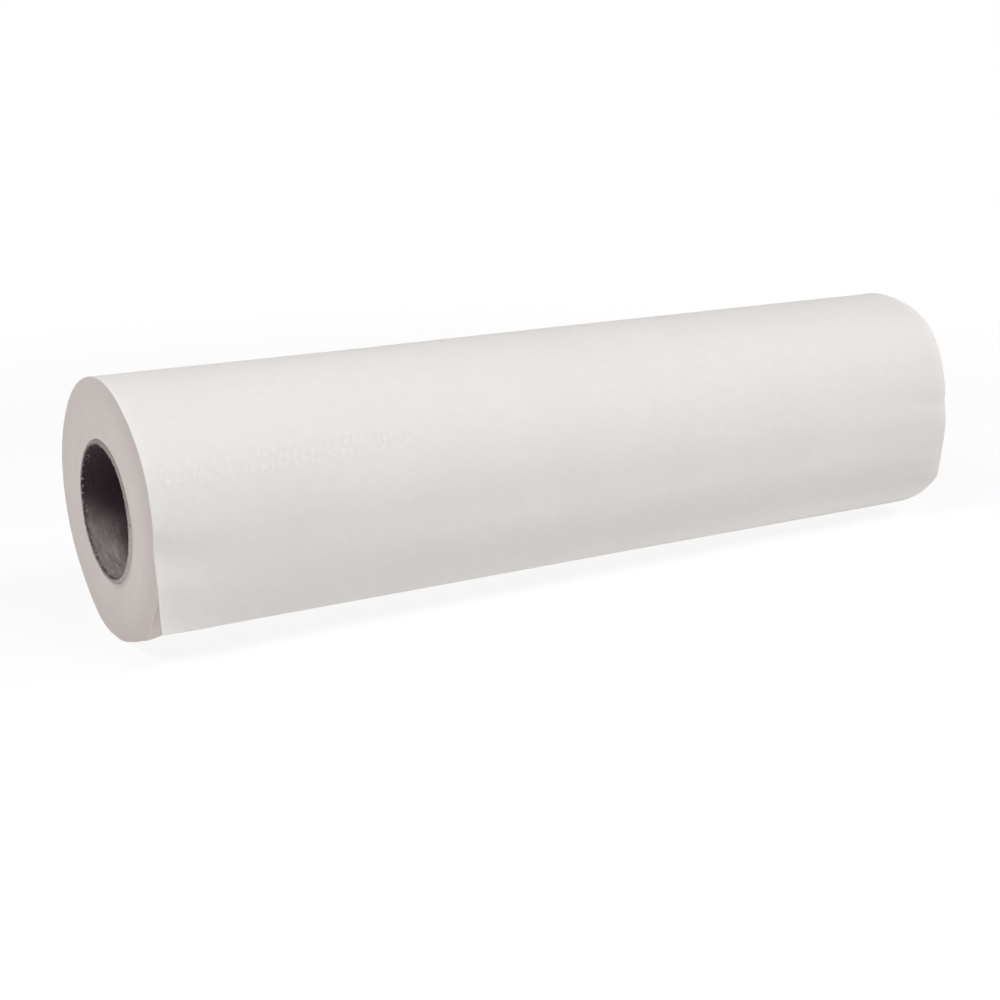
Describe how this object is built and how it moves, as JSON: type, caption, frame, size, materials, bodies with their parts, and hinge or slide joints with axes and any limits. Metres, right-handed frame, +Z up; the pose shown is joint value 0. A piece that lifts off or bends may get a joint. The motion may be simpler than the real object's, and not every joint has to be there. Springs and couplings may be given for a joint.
{
  "type": "exam table paper roll",
  "caption": "Wide white sheet wound on an open paperboard core, lying on its side with its loose end hanging down the front; a holder's rod passes through the core.",
  "frame": {"origin": "middle of the core's bore, on its axis, halfway along the roll", "axes": "+X along the roll's axis, from the end where the loose end of the sheet hangs free to the other; -Y is the front, where the loose end comes down; +Z is up, and the flat spot that the roll rests on faces -Z"},
  "size_m": [0.3572, 0.0965, 0.0928],
  "materials": {
    "paper": "matte",
    "paperboard": "matte"
  },
  "bodies": {
    "root": {"paper_roll": "paper", "paperboard_core": "paperboard"}
  },
  "joints": []
}
